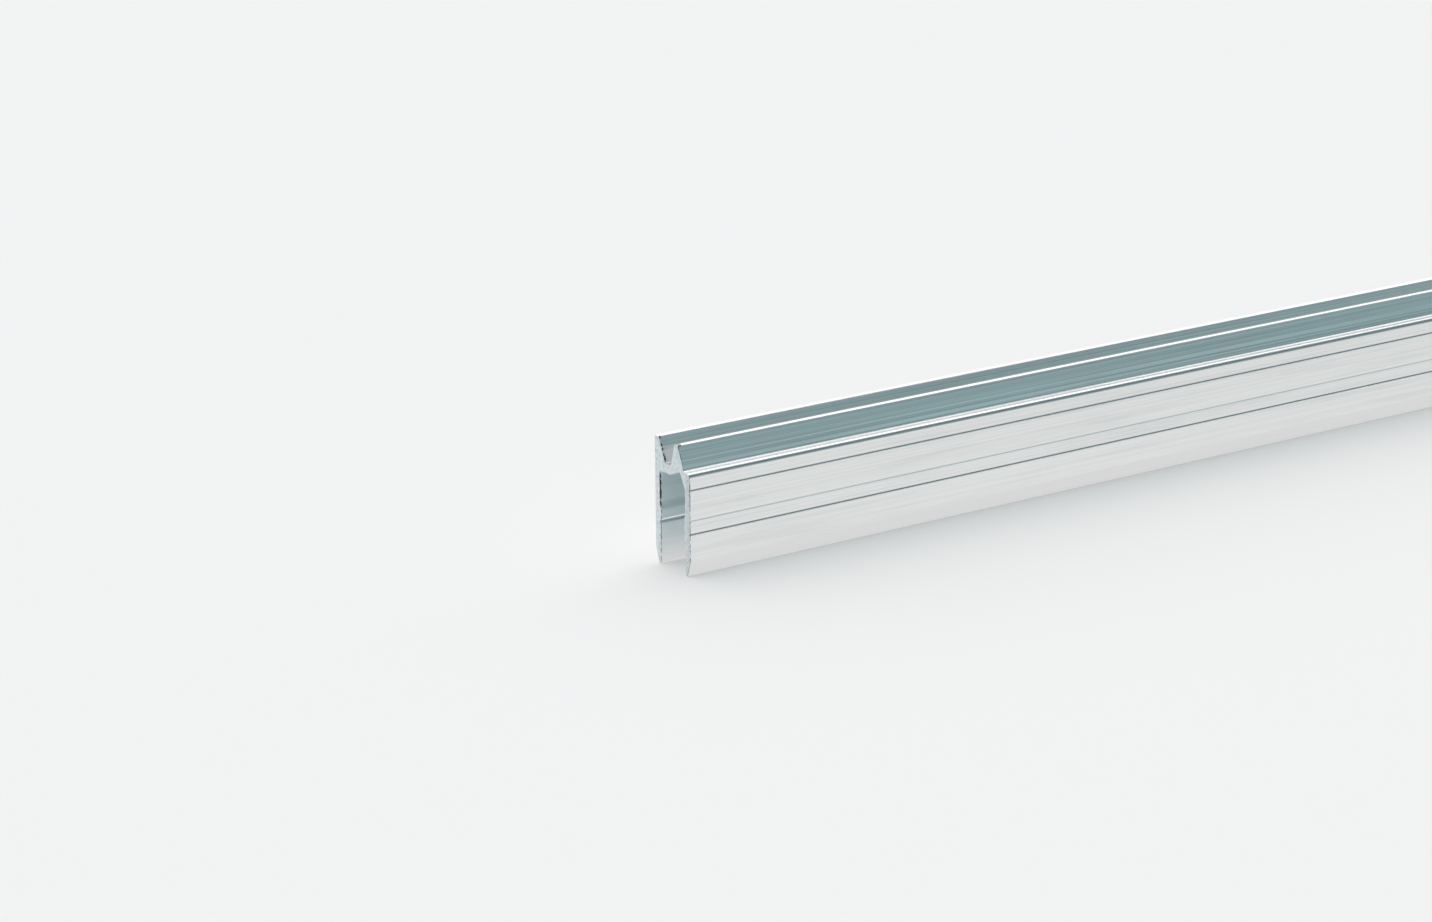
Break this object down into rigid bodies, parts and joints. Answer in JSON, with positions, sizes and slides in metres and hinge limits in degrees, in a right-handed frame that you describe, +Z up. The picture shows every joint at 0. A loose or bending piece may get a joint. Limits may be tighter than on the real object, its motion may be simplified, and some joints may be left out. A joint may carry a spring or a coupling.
{
  "type": "lid-location extrusion profile",
  "caption": "Aluminium extrusion for case lids: a downward channel grips a panel's edge, and a lip, groove, tongue and ledge on top close onto a turned-over twin.",
  "frame": {"origin": "on the floor under the middle of the bounding box, half way along the stock", "axes": "+X along the length, +Y towards the lip side, -Y towards the ledge side, +Z up"},
  "size_m": [1, 0.014, 0.03],
  "materials": {
    "aluminium": "mill finish, satin, with fine lines along the length"
  },
  "bodies": {
    "root": {"profile": "aluminium"}
  },
  "joints": []
}
